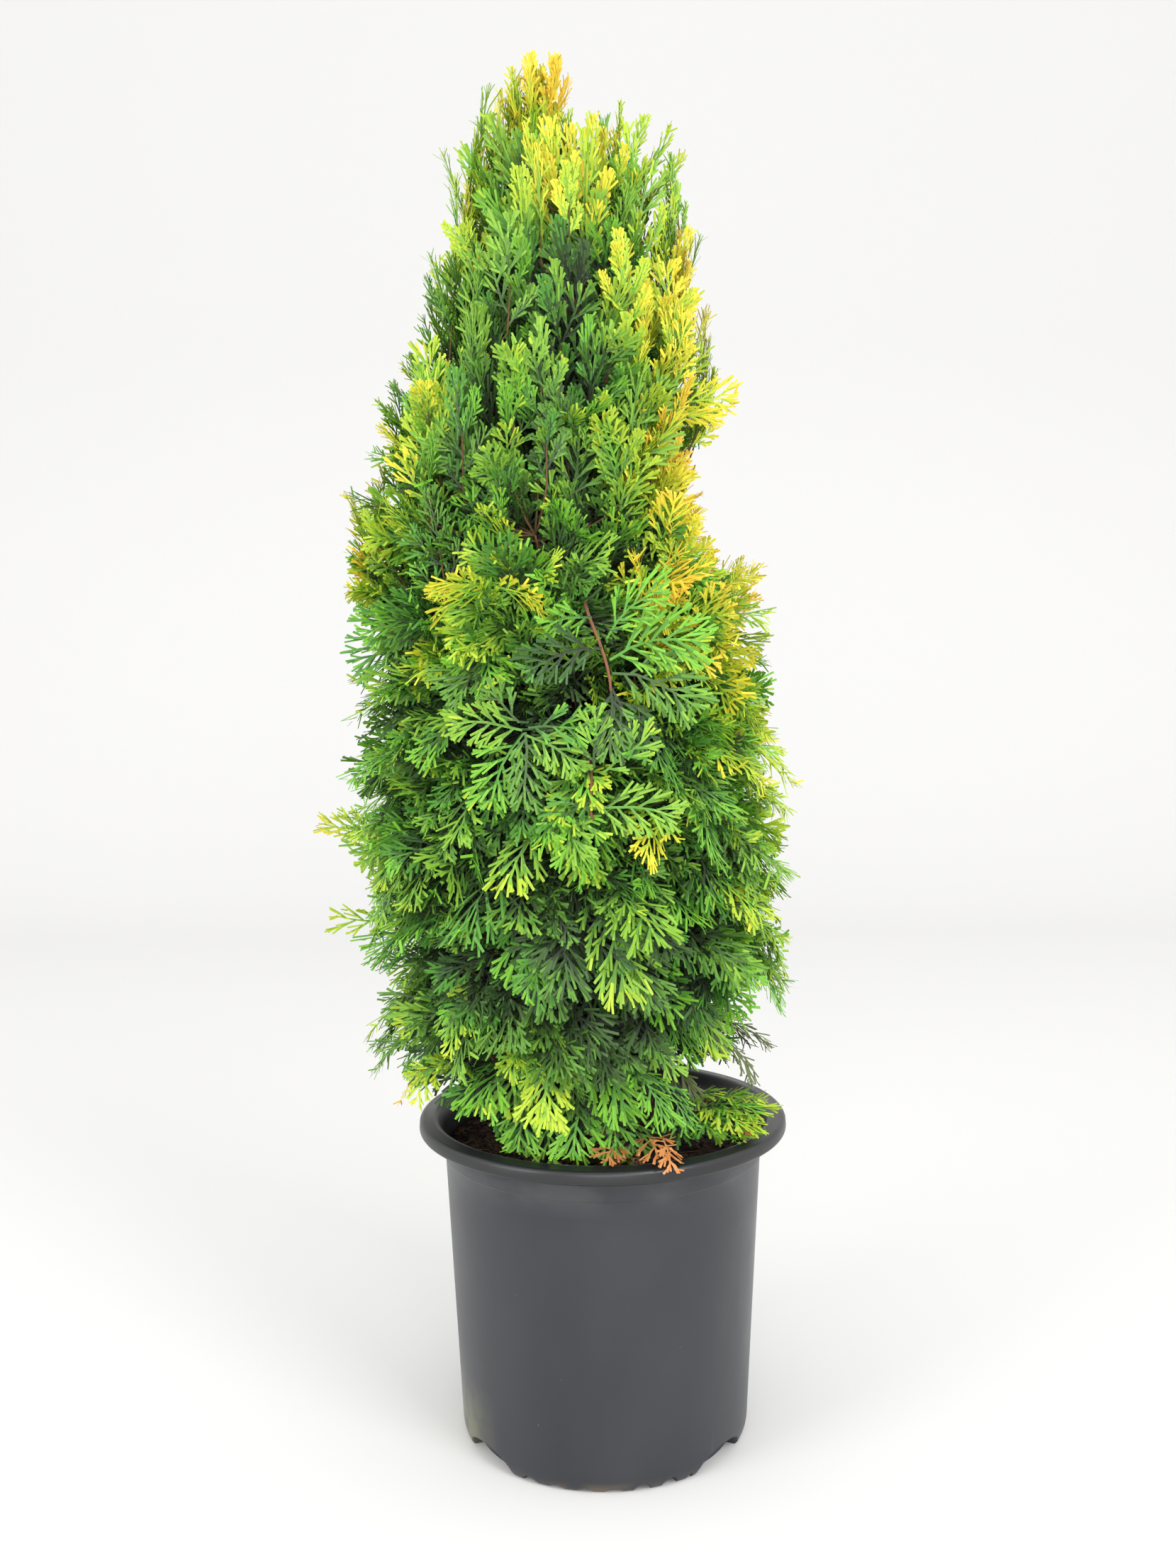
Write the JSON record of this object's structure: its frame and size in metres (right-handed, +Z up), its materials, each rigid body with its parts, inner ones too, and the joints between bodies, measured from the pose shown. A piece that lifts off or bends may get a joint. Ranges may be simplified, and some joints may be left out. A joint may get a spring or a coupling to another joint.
{
  "type": "potted thuja",
  "caption": "Young upright evergreen conifer with flat, scaly, golden-tipped sprays in a round black nursery pot.",
  "frame": {"origin": "middle of the flat underside of the pot, where the plant stands", "axes": "+Z up along the pot and the trunk, -Y towards the front, +X to the right seen from the front"},
  "size_m": [0.3551, 0.3456, 1.0318],
  "materials": {
    "pot_plastic": "satin",
    "growing_medium": "matte",
    "bark": "matte",
    "foliage": "matte"
  },
  "bodies": {
    "root": {"pot": "pot_plastic", "soil": "growing_medium", "trunk": "bark", "bough_skirt_1": "bark", "foliage_skirt_1": "foliage", "bough_skirt_2": "bark", "foliage_skirt_2": "foliage", "bough_skirt_3": "bark", "foliage_skirt_3": "foliage", "bough_skirt_4": "bark", "foliage_skirt_4": "foliage", "bough_skirt_5": "bark", "foliage_skirt_5": "foliage", "bough_lower_1": "bark", "foliage_lower_1": "foliage", "bough_lower_2": "bark", "foliage_lower_2": "foliage", "bough_lower_3": "bark", "foliage_lower_3": "foliage", "bough_lower_4": "bark", "foliage_lower_4": "foliage", "bough_lower_5": "bark", "foliage_lower_5": "foliage", "bough_middle_1": "bark", "foliage_middle_1": "foliage", "bough_middle_2": "bark", "foliage_middle_2": "foliage", "bough_middle_3": "bark", "foliage_middle_3": "foliage", "bough_middle_4": "bark", "foliage_middle_4": "foliage", "bough_middle_5": "bark", "foliage_middle_5": "foliage", "bough_upper_1": "bark", "foliage_upper_1": "foliage", "bough_upper_2": "bark", "foliage_upper_2": "foliage", "bough_upper_3": "bark", "foliage_upper_3": "foliage", "bough_upper_4": "bark", "foliage_upper_4": "foliage", "bough_shoulder_1": "bark", "foliage_shoulder_1": "foliage", "bough_shoulder_2": "bark", "foliage_shoulder_2": "foliage", "bough_shoulder_3": "bark", "foliage_shoulder_3": "foliage", "bough_shoulder_4": "bark", "foliage_shoulder_4": "foliage", "bough_neck_1": "bark", "foliage_neck_1": "foliage", "bough_neck_2": "bark", "foliage_neck_2": "foliage", "bough_neck_3": "bark", "foliage_neck_3": "foliage", "bough_second_top": "bark", "foliage_second_top": "foliage", "bough_rim_sprig": "bark", "foliage_rim_sprig": "foliage", "foliage_leader": "foliage"}
  },
  "joints": []
}
